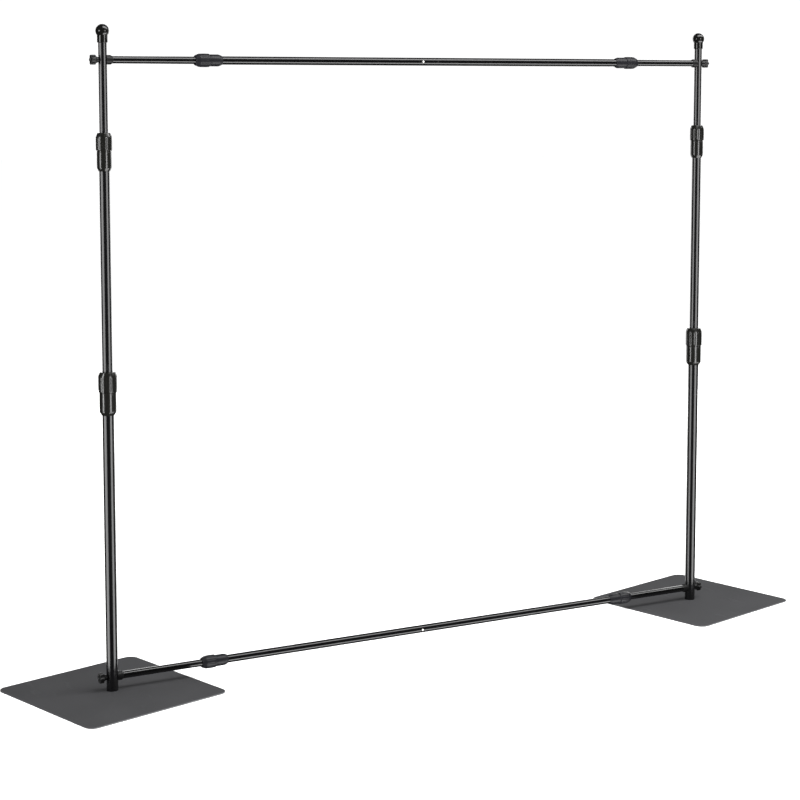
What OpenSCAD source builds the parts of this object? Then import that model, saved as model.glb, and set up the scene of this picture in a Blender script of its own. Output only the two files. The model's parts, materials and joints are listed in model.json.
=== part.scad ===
// Free-standing backdrop frame. Two telescopic uprights on steel base plates carry a top and a
// bottom telescopic crossbar. +X runs along the crossbars from the left upright to the right one,
// +Y points to the back and +Z up. The origin is on the floor, midway between the uprights.

/* [Overall] */
// Distance between the axes of the two uprights
span = 2160; // [1930:10:2900]
// Offset of both crossbars' middle sections towards the right upright
bar_shift = 13.5; // [-20:0.5:20]
// Height of the bottom crossbar's axis above the floor
bottom_bar_z = 46; // [42:1:120]
// Distance from the top of the ball down to the top crossbar's axis
top_bar_drop = 104; // [85:1:160]

/* [Base plates] */
// Side of the square base plate
plate_size = 500; // [300:10:700]
// Thickness of the base plate
plate_t = 4; // [4:0.5:8]
// Corner radius of the base plate
plate_corner_r = 30; // [5:1:80]
// How far each base plate is turned on its upright, anticlockwise from above
plate_turn = 15; // [-45:1:45]
// Radius of the bolt that holds the upright on its plate
bolt_r = 4; // [3:0.5:5]
// How far the bolt goes into the foot plug
bolt_grip = 22; // [12:1:30]
// Length of the foot plug inside the lower tube
foot_plug_len = 26; // [24:1:34]

/* [Upright tubes] */
// Outside diameter of the lower tube
lower_od = 35; // [34:0.5:44]
// Outside diameter of the middle tube
mid_od = 30; // [28:0.5:31]
// Outside diameter of the top tube
top_od = 25; // [22:0.5:26]
// Wall of the upright tubes
upright_wall = 1.5; // [1:0.1:1.8]
// Length of the lower tube
lower_len = 917; // [760:1:1200]
// Length of the middle tube
mid_len = 900; // [800:1:910]
// Length of the top tube
top_len = 860; // [420:1:1000]
// How far the middle tube stands out of the lower tube
mid_out = 717; // [220:1:790]
// How far the top tube stands out of the middle tube
top_out = 326; // [180:1:730]

/* [Upright locks] */
// Wall of the lower lock's body around the tube
lower_lock_wall = 8; // [7:0.5:12]
// Wall of the upper lock's body around the tube
upper_lock_wall = 6.5; // [6:0.5:10]
// Length of the lower lock's body below its seam
lower_lock_len = 68; // [40:1:90]
// Length of the upper lock's body below its seam
upper_lock_len = 60; // [40:1:90]
// Length of the lower lock's nut
lower_nut_len = 62; // [52:1:80]
// Length of the upper lock's nut
upper_nut_len = 53; // [48:1:80]

/* [Crossbars] */
// Outside diameter of the two middle tubes
bar_od = 25; // [24:0.5:30]
// Outside diameter of the rods that slide out
rod_od = 22; // [18:0.5:22]
// Wall of the crossbar's tubes and rods
bar_wall = 1.2; // [0.8:0.1:1.2]
// Length of each middle tube
half_len = 766; // [640:1:900]
// Length of each sliding rod
rod_len = 815; // [500:1:830]
// Length of the joining spigot on each side of the seam
spigot_half = 55; // [40:1:80]
// Distance from the seam to the spring button and to the dimple
button_inset = 28; // [20:1:34]
// Radius of the spring button
button_r = 4; // [3:0.25:5]
// How far the spring button stands out of the tube
button_out = 2.5; // [1:0.1:4]

/* [Crossbar locks] */
// Wall of the crossbar lock's body around the tube
bar_lock_wall = 5.5; // [5.5:0.5:9]
// Length of the crossbar lock's body on the tube side of its seam
bar_lock_len = 40; // [30:1:70]
// Length of the crossbar lock's nut
bar_nut_len = 46; // [45:1:70]

/* [End caps and knobs] */
// Radius of the cap at the rod's end
cap_r = 14; // [12:0.5:18]
// Length of the cap outside the upright
cap_len = 16; // [12:1:30]
// How far the cap's saddle reaches round the upright
saddle_horn = 4; // [1:0.5:5]
// Length of the end plug inside the rod
plug_len = 35; // [28:1:60]
// Radius of the knob's screw
screw_r = 4; // [3:0.5:5]
// How far the screw's tip goes past the cap
screw_grip = 22; // [10:1:25]
// Radius of the circle on which the knob's lobes stand
lobe_ring_r = 11.5; // [10:0.5:20]
// Radius of each lobe
lobe_r = 4.5; // [3:0.5:7]
// Number of lobes on a knob
lobe_count = 6; // [3:1:8]
// Thickness of the knob's head
knob_head_t = 13; // [8:1:20]
// Length of the knob's tapered neck
knob_neck_len = 11; // [6:1:25]

/* [Finials] */
// Radius of the ball on the upright's top
ball_r = 20; // [17:0.5:30]
// Length of the ball's sleeve over the top tube
finial_grip = 19; // [10:1:40]
// Wall of the ball's sleeve
finial_wall = 3; // [1.5:0.5:5]

/* [Hidden] */
$fn = 64;
cut = 1;                  // overshoot of every cutting solid
snug = 0.05;              // gap of pieces that are pressed or glued together
running = 0.05;           // radial gap of pieces that slide or turn on each other
free_gap = 0.3;           // radial gap of a hole round a screw or a button

lock_seat = 8;            // how far an outer tube's end goes past its lock's seam
lock_neck = 23;           // length of the threaded neck past the seam
collet_len = 15;          // length of the clamping ring past the neck
collet_gap = 0.4;         // radial gap between the loosened ring and the nut's cone
collet_slit = 3;          // width of the slit in the clamping ring
finger_slit = 1.6;        // width of the slits between a crossbar lock's fingers
neck_step = 3.5;          // how much thinner the neck is than the lock's body
foot_cone = 10;           // length of the cone where a lock's body meets its tube
foot_lip = 1.5;           // radial height of that cone's small end over the tube
nut_step = 2.5;           // how much the nut stands proud of the body
nut_gap = 0.5;            // gap at the seam between body and nut
nut_edge = 1.5;           // bevel on the nut's rim
mouth_gap = 1;            // radial gap of the nut's mouth round the inner tube
nose_len = 12;            // length of the nut's outer cone
nose_inset = 5.5;         // how far that cone draws the nut in at its mouth
flute_count = 12;         // grip flutes round a nut
flute_r = 2.4;            // radius of a flute
flute_depth = 0.7;        // depth of a flute

guide_foot = 12;          // length of a guide past its tube's end
guide_grip = 25;          // length of a guide inside its tube
guide_vent_r = 5;         // radius of the air hole through a guide
head_recess = 0.3;        // depth of the bolt's head under the plate
head_grow = 3.5;          // height and radial width of the bolt's countersunk head
bolt_gap = 0.1;           // gap between the bolt's head and the plate
bolt_end_gap = 2;         // free depth past a bolt's or screw's tip
socket_r = 2.9;           // corner radius of the hexagon socket
socket_depth = 2.4;       // depth of the hexagon socket
cap_bevel = 5;            // length of the cap's bevel towards the rod
knob_gap = 0.5;           // gap between the knob's face and the upright
knob_core_r = 11.5;       // radius of the knob's solid middle
knob_face_r = 7.5;        // radius of the knob's neck at the upright
screw_root = 6;           // length of the screw inside the knob
spigot_wall = 1.5;        // wall of the joining spigot
flange_r = 5.5;           // radius of the button's flange inside the spigot
flange_t = 1;             // thickness of that flange
flange_gap = 0.4;         // gap between the flange's rim and the spigot
leaf_len = 30;            // length of the button's leaf spring
leaf_w = 6;               // width of the leaf spring
leaf_t = 0.8;             // thickness of the leaf spring
button_dome = 1;          // height of the button's bevelled tip
dimple_r = 5;             // radius of the ball that presses the dimple
dimple_depth = 0.8;       // depth of the dimple that holds the spigot

SIDES = ["left", "right"];
BARS = ["top", "bottom"];
UPRIGHT_PARTS = [
    "base_plate", "base_bolt", "foot_plug", "lower_tube", "lower_lock_body", "lower_lock_collet",
    "lower_lock_nut", "mid_tube", "mid_guide", "upper_lock_body", "upper_lock_collet",
    "upper_lock_nut", "top_tube", "top_guide", "finial"
];
BAR_PARTS = ["bar_spigot", "bar_button", "bar_lock_bodies"];
BAR_END_PARTS = ["bar_tube", "bar_lock_nut", "rod", "rod_guide", "end_plug", "knob"];

gloss_black = [0.035, 0.035, 0.04];
satin_black = [0.06, 0.06, 0.06];
charcoal = [0.12, 0.12, 0.13];
plate_grey = [0.3, 0.3, 0.31];
bright_steel = [0.75, 0.75, 0.74];
plug_grey = [0.35, 0.35, 0.36];

lower_top_z = plate_t + lower_len;
mid_top_z = lower_top_z + mid_out;
top_top_z = mid_top_z + top_out;
ball_z = top_top_z + sqrt(pow(ball_r, 2) - pow(top_od / 2, 2));
top_bar_z = ball_z + ball_r - top_bar_drop;
seam_x = bar_shift;

// A lock is [outer tube radius, inner tube radius, body wall, body length, nut length].
LOWER_LOCK = [lower_od / 2, mid_od / 2, lower_lock_wall, lower_lock_len, lower_nut_len];
UPPER_LOCK = [mid_od / 2, top_od / 2, upper_lock_wall, upper_lock_len, upper_nut_len];
BAR_LOCK = [bar_od / 2, rod_od / 2, bar_lock_wall, bar_lock_len, bar_nut_len];

function outer_r(lock) = lock[0];
function inner_r(lock) = lock[1];
function body_r(lock) = lock[0] + lock[2];
function body_len(lock) = lock[3];
function nut_len(lock) = lock[4];
function neck_r(lock) = body_r(lock) - neck_step;
function thread_r(lock) = neck_r(lock) + running;
function mouth_r(lock) = inner_r(lock) + mouth_gap;

// Radius of the nut's inner cone at a height over the seam
cone_from = lock_neck + 2;
cone_to = lock_neck + collet_len + 4;
function cone_r(lock, z) =
    thread_r(lock) + (mouth_r(lock) - thread_r(lock)) * (z - cone_from) / (cone_to - cone_from);

function bar_z(bar) = bar == "top" ? top_bar_z : bottom_bar_z;
function upright_r(bar) = (bar == "top" ? top_od : lower_od) / 2;
function side_sign(side) = side == "left" ? -1 : 1;

// The top crossbar's right end meets an upright that is carried by the other end of the frame.
function is_open_end(bar, side) = bar == "top" && side == "right";
function end_gap(bar, side) = is_open_end(bar, side) ? free_gap : snug;

// Places its children on an upright's axis.
module at_upright(side, z) {
    translate([side_sign(side) * span / 2, 0, z])
        children();
}

// Places its children on an upright's axis with their +X towards the middle of the frame.
module from_upright(side, bar) {
    at_upright(side, bar_z(bar))
        rotate([0, 0, side == "left" ? 0 : 180])
            children();
}

// Places its children on a crossbar's seam with their +X towards one upright.
module from_seam(side, bar) {
    translate([seam_x, 0, bar_z(bar)])
        rotate([0, 0, side == "left" ? 180 : 0])
            children();
}

// Turns its children's +Z to +X and starts them at x.
module along_x(x) {
    translate([x, 0, 0])
        rotate([0, 90, 0])
            children();
}

// Places its children over the front of a crossbar, their +Z pointing out of the tube.
module on_bar_front(x, bar) {
    translate([x, 0, bar_z(bar)])
        rotate([90, 0, 0])
            children();
}

module tube(od, wall, len) {
    difference() {
        cylinder(r = od / 2, h = len);
        translate([0, 0, -cut])
            cylinder(r = od / 2 - wall, h = len + 2 * cut);
    }
}

module rounded_square(size, r) {
    square([size - 2 * r, size], center = true);
    square([size, size - 2 * r], center = true);
    for (x = [-1, 1], y = [-1, 1])
        translate([x * (size / 2 - r), y * (size / 2 - r)])
            circle(r = r);
}

// Clearance holes for a knob's screw through both walls of an upright's tube
module screw_holes(radius, z) {
    translate([0, 0, z])
        along_x(-radius - cut)
            cylinder(r = screw_r + free_gap, h = 2 * (radius + cut));
}

// Lock body: sleeve over the outer tube below z = 0, threaded neck above it
module lock_sleeve(lock) {
    rotate_extrude()
        polygon([
            [outer_r(lock) + snug, -body_len(lock)],
            [outer_r(lock) + foot_lip, -body_len(lock)],
            [body_r(lock), foot_cone - body_len(lock)],
            [body_r(lock), 0],
            [neck_r(lock), 0],
            [neck_r(lock), lock_neck],
            [inner_r(lock) + collet_gap, lock_neck],
            [inner_r(lock) + collet_gap, lock_seat],
            [outer_r(lock) + snug, lock_seat]
        ]);
}

// Tapered ring that the nut squeezes onto the inner tube
module lock_ring(lock) {
    tip_z = lock_neck + collet_len;
    rotate_extrude()
        polygon([
            [inner_r(lock) + running, lock_neck],
            [thread_r(lock) - collet_gap, lock_neck],
            [thread_r(lock) - collet_gap, cone_from],
            [cone_r(lock, tip_z) - collet_gap, tip_z],
            [inner_r(lock) + running, tip_z]
        ]);
}

module lock_collet(lock) {
    difference() {
        lock_ring(lock);
        translate([0, -collet_slit / 2, lock_neck - cut])
            cube([body_r(lock), collet_slit, collet_len + 2 * cut]);
    }
}

module lock_nut(lock) {
    rim_r = body_r(lock) + nut_step;
    nose_z = nut_len(lock) - nose_len;
    flute_len = nose_z - nut_gap - 4 * nut_edge;
    difference() {
        rotate_extrude()
            polygon([
                [thread_r(lock), nut_gap],
                [rim_r - nut_edge, nut_gap],
                [rim_r, nut_gap + nut_edge],
                [rim_r, nose_z],
                [rim_r - nose_inset, nut_len(lock)],
                [mouth_r(lock), nut_len(lock)],
                [mouth_r(lock), cone_to],
                [thread_r(lock), cone_from]
            ]);
        for (i = [0 : flute_count - 1])
            rotate([0, 0, i * 360 / flute_count])
                translate([rim_r + flute_r - flute_depth, 0, nut_gap + 2 * nut_edge])
                    cylinder(r = flute_r, h = flute_len);
    }
}

// Plug with a foot that slides in the outer tube, below a tube's end at z = 0
module tube_guide(bore_r, tube_r) {
    difference() {
        union() {
            translate([0, 0, -guide_foot])
                cylinder(r = bore_r - running, h = guide_foot);
            cylinder(r = tube_r - snug, h = guide_grip);
        }
        translate([0, 0, -guide_foot - cut])
            cylinder(r = guide_vent_r, h = guide_foot + guide_grip + 2 * cut);
    }
}

module base_plate(side) {
    seat_r = bolt_r + head_grow + head_recess + bolt_gap;
    seat_h = head_grow + head_recess;
    color(plate_grey)
        at_upright(side, 0)
            difference() {
                linear_extrude(plate_t)
                    rotate(plate_turn)
                        rounded_square(plate_size, plate_corner_r);
                translate([0, 0, -cut])
                    cylinder(r = bolt_r + free_gap, h = plate_t + 2 * cut);
                translate([0, 0, -cut])
                    cylinder(r1 = seat_r + cut, r2 = seat_r - seat_h, h = seat_h + cut);
            }
}

module base_bolt(side) {
    head_r = bolt_r + head_grow;
    color(bright_steel)
        at_upright(side, head_recess)
            difference() {
                union() {
                    cylinder(r1 = head_r, r2 = bolt_r, h = head_grow);
                    cylinder(r = bolt_r, h = plate_t - head_recess + bolt_grip);
                }
                translate([0, 0, -cut])
                    cylinder(r = socket_r, h = socket_depth + cut, $fn = 6);
            }
}

module foot_plug(side) {
    color(plug_grey)
        at_upright(side, plate_t)
            difference() {
                cylinder(r = lower_od / 2 - upright_wall - snug, h = foot_plug_len);
                translate([0, 0, -cut])
                    cylinder(r = bolt_r + snug, h = bolt_grip + bolt_end_gap + cut);
            }
}

module lower_tube(side) {
    color(gloss_black)
        at_upright(side, plate_t)
            difference() {
                tube(lower_od, upright_wall, lower_len);
                screw_holes(lower_od / 2, bottom_bar_z - plate_t);
            }
}

module mid_tube(side) {
    color(gloss_black)
        at_upright(side, mid_top_z - mid_len)
            tube(mid_od, upright_wall, mid_len);
}

module top_tube(side) {
    bottom_z = top_top_z - top_len;
    color(gloss_black)
        at_upright(side, bottom_z)
            difference() {
                tube(top_od, upright_wall, top_len);
                screw_holes(top_od / 2, top_bar_z - bottom_z);
            }
}

module mid_guide(side) {
    color(plug_grey)
        at_upright(side, mid_top_z - mid_len)
            tube_guide(lower_od / 2 - upright_wall, mid_od / 2 - upright_wall);
}

module top_guide(side) {
    color(plug_grey)
        at_upright(side, top_top_z - top_len)
            tube_guide(mid_od / 2 - upright_wall, top_od / 2 - upright_wall);
}

module upright_lock_body(side, lock, tube_end_z) {
    color(satin_black)
        at_upright(side, tube_end_z - lock_seat)
            lock_sleeve(lock);
}

module upright_lock_collet(side, lock, tube_end_z) {
    color(plug_grey)
        at_upright(side, tube_end_z - lock_seat)
            lock_collet(lock);
}

module upright_lock_nut(side, lock, tube_end_z) {
    color(satin_black)
        at_upright(side, tube_end_z - lock_seat)
            lock_nut(lock);
}

// Ball with a sleeve that caps the top tube
module finial(side) {
    color(gloss_black)
        at_upright(side, 0)
            difference() {
                union() {
                    translate([0, 0, ball_z])
                        sphere(r = ball_r);
                    translate([0, 0, top_top_z - finial_grip])
                        cylinder(r = top_od / 2 + finial_wall, h = finial_grip + finial_wall);
                }
                translate([0, 0, top_top_z - finial_grip - cut])
                    cylinder(r = top_od / 2 + snug, h = finial_grip + cut);
            }
}

// Middle tube of a crossbar: the left one has the button's hole, the right one the dimple.
module bar_tube(bar, side) {
    color(gloss_black)
        difference() {
            from_seam(side, bar)
                along_x(0)
                    tube(bar_od, bar_wall, half_len);
            if (side == "left")
                on_bar_front(seam_x - button_inset, bar)
                    cylinder(r = button_r + free_gap, h = bar_od);
            else
                on_bar_front(seam_x + button_inset, bar)
                    translate([0, 0, bar_od / 2 + dimple_r - dimple_depth])
                        sphere(r = dimple_r);
        }
}

// Tube that joins a crossbar's two middle tubes
module bar_spigot(bar) {
    color(bright_steel)
        difference() {
            translate([seam_x - spigot_half, 0, bar_z(bar)])
                along_x(0)
                    tube(bar_od - 2 * bar_wall - 2 * snug, spigot_wall, 2 * spigot_half);
            on_bar_front(seam_x - button_inset, bar)
                cylinder(r = button_r + free_gap, h = bar_od);
        }
}

// Spring button: pin and flange on a leaf spring inside the spigot
module bar_button(bar) {
    spigot_bore_r = bar_od / 2 - bar_wall - snug - spigot_wall;
    flange_top = sqrt(pow(spigot_bore_r, 2) - pow(flange_r, 2)) - flange_gap;
    tip = bar_od / 2 + button_out;
    color(bright_steel)
        on_bar_front(seam_x - button_inset, bar) {
            translate([0, 0, flange_top - flange_t])
                cylinder(r = flange_r, h = flange_t);
            translate([0, 0, flange_top - flange_t])
                cylinder(r = button_r, h = tip - button_dome - flange_top + flange_t);
            translate([0, 0, tip - button_dome])
                cylinder(r1 = button_r, r2 = button_r - button_dome, h = button_dome);
            translate([-leaf_len / 2, -leaf_w / 2, flange_top - flange_t - leaf_t])
                cube([leaf_len, leaf_w, leaf_t]);
        }
}

// Both lock bodies of a crossbar, each with its slit clamping fingers
module bar_lock_bodies(bar) {
    finger_h = collet_len + cut;
    color(charcoal)
        for (side = SIDES)
            from_seam(side, bar)
                along_x(half_len - lock_seat)
                    difference() {
                        union() {
                            lock_sleeve(BAR_LOCK);
                            lock_ring(BAR_LOCK);
                        }
                        for (turn = [0, 90])
                            rotate([0, 0, turn])
                                translate([-bar_od, -finger_slit / 2, lock_neck])
                                    cube([2 * bar_od, finger_slit, finger_h]);
                    }
}

module bar_lock_nut(bar, side) {
    color(charcoal)
        from_seam(side, bar)
            along_x(half_len - lock_seat)
                lock_nut(BAR_LOCK);
}

module rod(bar, side) {
    color(gloss_black)
        from_upright(side, bar)
            along_x(upright_r(bar) + cap_len)
                tube(rod_od, bar_wall, rod_len);
}

module rod_guide(bar, side) {
    color(plug_grey)
        from_upright(side, bar)
            translate([upright_r(bar) + cap_len + rod_len, 0, 0])
                rotate([0, -90, 0])
                    tube_guide(bar_od / 2 - bar_wall, rod_od / 2 - bar_wall);
}

// Cap with a saddle for the upright and a threaded plug pressed into the rod
module end_plug(bar, side) {
    seat_r = upright_r(bar);
    bevel_x = seat_r + cap_len - cap_bevel;
    color(satin_black)
        from_upright(side, bar)
            difference() {
                union() {
                    along_x(seat_r - saddle_horn)
                        cylinder(r = cap_r, h = bevel_x - seat_r + saddle_horn);
                    along_x(bevel_x)
                        cylinder(r1 = cap_r, r2 = rod_od / 2, h = cap_bevel);
                    along_x(bevel_x)
                        cylinder(r = rod_od / 2 - bar_wall - snug, h = cap_bevel + plug_len);
                }
                translate([0, 0, -cap_r - cut])
                    cylinder(r = seat_r + end_gap(bar, side), h = 2 * (cap_r + cut));
                along_x(0)
                    cylinder(
                        r = screw_r + end_gap(bar, side),
                        h = seat_r + cap_len + screw_grip + bolt_end_gap
                    );
            }
}

// Knob on the screw that passes through the upright into the end plug
module knob(bar, side) {
    face_x = -upright_r(bar) - knob_gap;
    tip_x = upright_r(bar) + cap_len + screw_grip;
    color(satin_black)
        from_upright(side, bar) {
            along_x(face_x - knob_neck_len)
                cylinder(r1 = knob_core_r, r2 = knob_face_r, h = knob_neck_len);
            along_x(face_x - knob_neck_len - knob_head_t)
                linear_extrude(knob_head_t) {
                    circle(r = knob_core_r);
                    for (i = [0 : lobe_count - 1])
                        rotate(i * 360 / lobe_count)
                            translate([lobe_ring_r, 0])
                                circle(r = lobe_r);
                }
            along_x(face_x - screw_root)
                cylinder(r = screw_r, h = tip_x - face_x + screw_root);
        }
}

for (side = SIDES) {
    base_plate(side);
    base_bolt(side);
    foot_plug(side);
    lower_tube(side);
    upright_lock_body(side, LOWER_LOCK, lower_top_z);
    upright_lock_collet(side, LOWER_LOCK, lower_top_z);
    upright_lock_nut(side, LOWER_LOCK, lower_top_z);
    mid_tube(side);
    mid_guide(side);
    upright_lock_body(side, UPPER_LOCK, mid_top_z);
    upright_lock_collet(side, UPPER_LOCK, mid_top_z);
    upright_lock_nut(side, UPPER_LOCK, mid_top_z);
    top_tube(side);
    top_guide(side);
    finial(side);
}
for (bar = BARS) {
    bar_spigot(bar);
    bar_button(bar);
    bar_lock_bodies(bar);
}
for (bar = BARS, side = SIDES) {
    bar_tube(bar, side);
    bar_lock_nut(bar, side);
    rod(bar, side);
    rod_guide(bar, side);
    end_plug(bar, side);
    knob(bar, side);
}
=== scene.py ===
"""Finishes, moulded pieces, studio and camera for a free-standing backdrop frame.

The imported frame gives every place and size. Lengths are in metres: +X runs along the crossbars
from the left upright to the right one, +Y points to the back and +Z up. A turned piece is worked
out on its own axis, as a radius r and a height s, and then set on the frame.
"""

import json
import math
from types import SimpleNamespace

import bmesh
import bpy
import numpy as np
from bpy.props import FloatProperty, FloatVectorProperty, IntProperty, PointerProperty
from bpy.types import Operator, Panel, PropertyGroup
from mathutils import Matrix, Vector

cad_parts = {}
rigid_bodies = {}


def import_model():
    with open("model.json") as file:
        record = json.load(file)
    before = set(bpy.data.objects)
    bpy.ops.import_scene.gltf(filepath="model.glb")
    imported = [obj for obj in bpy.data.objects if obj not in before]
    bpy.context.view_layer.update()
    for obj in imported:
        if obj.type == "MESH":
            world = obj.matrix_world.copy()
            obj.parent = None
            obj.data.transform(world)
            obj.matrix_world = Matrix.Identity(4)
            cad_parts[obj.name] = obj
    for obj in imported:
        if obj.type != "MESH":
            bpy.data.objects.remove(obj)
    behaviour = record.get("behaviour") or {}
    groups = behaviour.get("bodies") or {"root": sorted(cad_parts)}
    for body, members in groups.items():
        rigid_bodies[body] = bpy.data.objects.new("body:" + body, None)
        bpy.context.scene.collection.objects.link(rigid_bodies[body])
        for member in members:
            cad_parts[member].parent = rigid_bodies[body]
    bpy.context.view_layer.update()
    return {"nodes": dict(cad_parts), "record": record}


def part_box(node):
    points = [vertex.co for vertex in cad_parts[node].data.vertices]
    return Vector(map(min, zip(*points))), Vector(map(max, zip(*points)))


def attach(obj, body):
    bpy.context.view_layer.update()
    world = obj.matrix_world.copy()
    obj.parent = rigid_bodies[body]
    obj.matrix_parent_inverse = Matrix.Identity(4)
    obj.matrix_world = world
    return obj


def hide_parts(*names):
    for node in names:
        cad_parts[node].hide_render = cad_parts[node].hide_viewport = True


bl_info = {
    "name": "Backdrop Frame Finisher",
    "version": (1, 0, 0),
    "blender": (4, 5, 0),
    "location": "3D View > Sidebar > Backdrop",
    "description": "Builds the moulded pieces, finishes and studio of a backdrop frame",
    "category": "Object",
}

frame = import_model()
BODY_OF = {n: b for b, ns in frame["record"]["behaviour"]["bodies"].items() for n in ns}

MM = 0.001
SIDES = ("left", "right")
BARS = ("top", "bottom")
ENDS = [(bar, side) for bar in BARS for side in SIDES]
LEVELS = ("lower", "upper")
X, Y, Z = np.eye(3)
# The three axes that a turned piece's own x, y and z are laid on.
TURNS = {"up": (X, Y, Z), "right": (Y, Z, X), "left": (-Y, Z, -X), "front": (X, Z, -Y)}
OUTWARD = {"left": "left", "right": "right"}
INWARD = {"left": "right", "right": "left"}

# Fits of the locks and buttons, which the frame's own parts share
SNUG = 0.05 * MM
RUNNING = 0.05 * MM
LOOSE = 0.3 * MM
COLLET_GAP = 0.4 * MM
LOCK_NECK = 23 * MM
LOCK_SEAT = 8 * MM
NECK_STEP = 3.5 * MM
COLLET_LEN = 15 * MM
THREAD_RELIEF = 2 * MM
CONE_END = 4 * MM
MOUTH_GAP = 1 * MM
FINGER_SLIT = 1.6 * MM
FINGERS = 4
LEAF_THICK = 0.8 * MM

# How finely the surfaces are drawn, and how their points and edges are told apart
TINY = 1e-9
WELD = 1e-7
CUT_SHARE = 0.49
PER_FLUTE = 16
PER_LOBE = 30
SHARP = math.radians(50)
WEAR_FROM, WEAR_FULL = 250, 900

# Dull ring that a lock rubs on its tube: distance past the nut, and half its width
RUB_PAST = 12 * MM
RUB_HALF = 16 * MM

# Studio: how far the floor reaches and lies under the plates, how far the lights stand from the
# stand's middle line, and how bright the room is in gloss
FLOOR_REACH, FLOOR_DROP = 40, 0.3 * MM
LIGHT_REACH = 5.5
FLAG_LIGHT = 0.05


def length(name, description, default, low, high):
    """Setting for a length, given in millimetres."""
    return FloatProperty(
        name=name, description=description, default=default * MM, min=low * MM, max=high * MM,
        unit="LENGTH")


def watts(name, description, default):
    """Setting for the power of a light, in watts."""
    return FloatProperty(name=name, description=f"Power of {description}", default=default, min=0)


def paint(name, description, default):
    """Setting for a colour."""
    return FloatVectorProperty(
        name=name, description=description, default=default, min=0, max=1, subtype="COLOR")


class StandSizes(PropertyGroup):
    """Sizes of the moulded and turned details"""

    foot_cone: length("Lock foot", "Length of the cone where a lock meets its tube", 10, 3, 20)
    foot_lip: length("Lock foot lip", "Height of that cone's small end over the tube", 1.5, 0.5, 5)
    nose_len: length("Nut nose", "Length of the rounded shoulder at a nut's mouth", 12, 4, 20)
    nose_inset: length("Nut nose inset", "How far that shoulder draws the nut in", 5.5, 2, 8)
    flute_count: IntProperty(
        name="Flutes", description="Grip flutes round a nut", default=12, min=6, max=36)
    flute_depth: length("Flute depth", "Depth of a grip flute", 0.6, 0, 1.2)
    bar_lock_len: length(
        "Crossbar lock", "Length of a crossbar lock's body before its seam", 40, 30, 70)
    cap_bevel: length("Cap bevel", "Length of an end cap's bevel towards its rod", 5, 1, 8)
    cap_len: length("Cap length", "Length of an end cap outside the upright", 16, 12, 30)
    saddle_horn: length("Saddle reach", "How far a cap's saddle reaches round the upright", 4, 1, 5)
    screw_grip: length("Screw grip", "How far a knob's screw goes past the cap", 22, 10, 25)
    screw_r: length("Screw radius", "Radius over the thread of a knob's screw", 4, 3, 5)
    thread_pitch: length("Thread pitch", "Advance of the screw's thread in one turn", 1.25, 0.8, 2)
    knob_core_r: length("Knob core", "Radius of a knob between its lobes", 11.5, 8, 20)
    knob_head: length("Knob head", "Thickness of a knob's head", 13, 8, 20)
    lobe_count: IntProperty(
        name="Lobes", description="Number of lobes on a knob", default=6, min=3, max=8)
    lobe_r: length("Lobe radius", "Radius of a knob's lobe", 4.5, 3, 7)
    plate_corner: length("Plate corner", "Corner radius of a base plate", 30, 5, 80)
    plate_turn: FloatProperty(
        name="Plate turn", description="How far each base plate is turned on its upright",
        default=math.radians(15), min=-math.pi / 4, max=math.pi / 4, subtype="ANGLE")
    plate_round: length("Plate edge", "Rounding of a base plate's coated edge", 0.9, 0.2, 1.8)
    bolt_hole: length("Bolt hole", "Radius of the hole for the plate's bolt", 4.3, 3, 6)
    sink_r: length("Countersink", "Radius of the countersink under the plate", 7.9, 5, 10)
    around: IntProperty(
        name="Facets", description="Facets round a plain turned piece",
        default=96, min=24, max=256)


class StandFinishes(PropertyGroup):
    """Colours and gloss of the stand's finishes"""

    tube_black: paint(
        "Tube paint", "Gloss black paint of the tubes and rods", (0.0018, 0.0018, 0.0020))
    tube_gloss: FloatProperty(
        name="Tube roughness", description="Roughness of the tubes' paint",
        default=0.17, min=0, max=1, subtype="FACTOR")
    lock_black: paint("Upright locks", "Satin black of the upright locks", (0.0042, 0.0042, 0.0036))
    lock_charcoal: paint(
        "Crossbar locks", "Charcoal of the crossbar locks", (0.0080, 0.0080, 0.0102))
    cap_black: paint(
        "Caps and knobs", "Matt black of the end caps and knobs", (0.0050, 0.0050, 0.0050))
    ball_black: paint("Finials", "Gloss black of the ball finials", (0.0035, 0.0035, 0.0032))
    plate_grey: paint(
        "Base plates", "Dark grey powder coat of the base plates", (0.050, 0.0505, 0.053))
    nylon_grey: paint(
        "Inner guides", "Grey nylon of the guides, plugs and collets", (0.11, 0.11, 0.115))
    bright_steel: paint(
        "Bright steel", "Plated steel of screws, bolts, buttons and spigots", (0.46, 0.455, 0.44))


class StandStudio(PropertyGroup):
    """Camera and lights"""

    lens: FloatProperty(
        name="Lens", description="Focal length of the camera, in millimetres",
        default=86.2, min=20, max=300)
    camera_place: FloatVectorProperty(
        name="Camera", description="Where the camera stands",
        default=(-3.0033, -5.3623, 1.8259), subtype="TRANSLATION")
    turn: FloatProperty(
        name="Turn", description="How far the camera turns from +Y towards +X",
        default=math.radians(28.5), subtype="ANGLE")
    dip: FloatProperty(
        name="Dip", description="How far the camera looks down",
        default=math.radians(5.85), subtype="ANGLE")
    shift: FloatProperty(
        name="Shift", description="Upward shift of the camera's view", default=-0.15)
    side_power: watts("Side boxes", "the two tall soft boxes in front", 500)
    rear_power: watts("Rear boxes", "the two tall soft boxes behind", 113)
    strip_power: watts("Strip boxes", "the two narrow boxes for the locks", 210)
    ball_power: watts("Ball lamps", "the two small lamps for the finials", 55)
    top_power: watts("Top box", "the long soft box overhead", 340)
    low_power: watts("Low box", "the long soft box under the floor", 640)
    fill: FloatProperty(
        name="Room light", description="Brightness of the white room on matt surfaces",
        default=1.07, min=0)


# --- surfaces ---------------------------------------------------------------------------------


def box_of(node):
    """Lowest and highest corner of a CAD node, as arrays."""
    low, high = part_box(node)
    return np.array(low), np.array(high)


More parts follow.
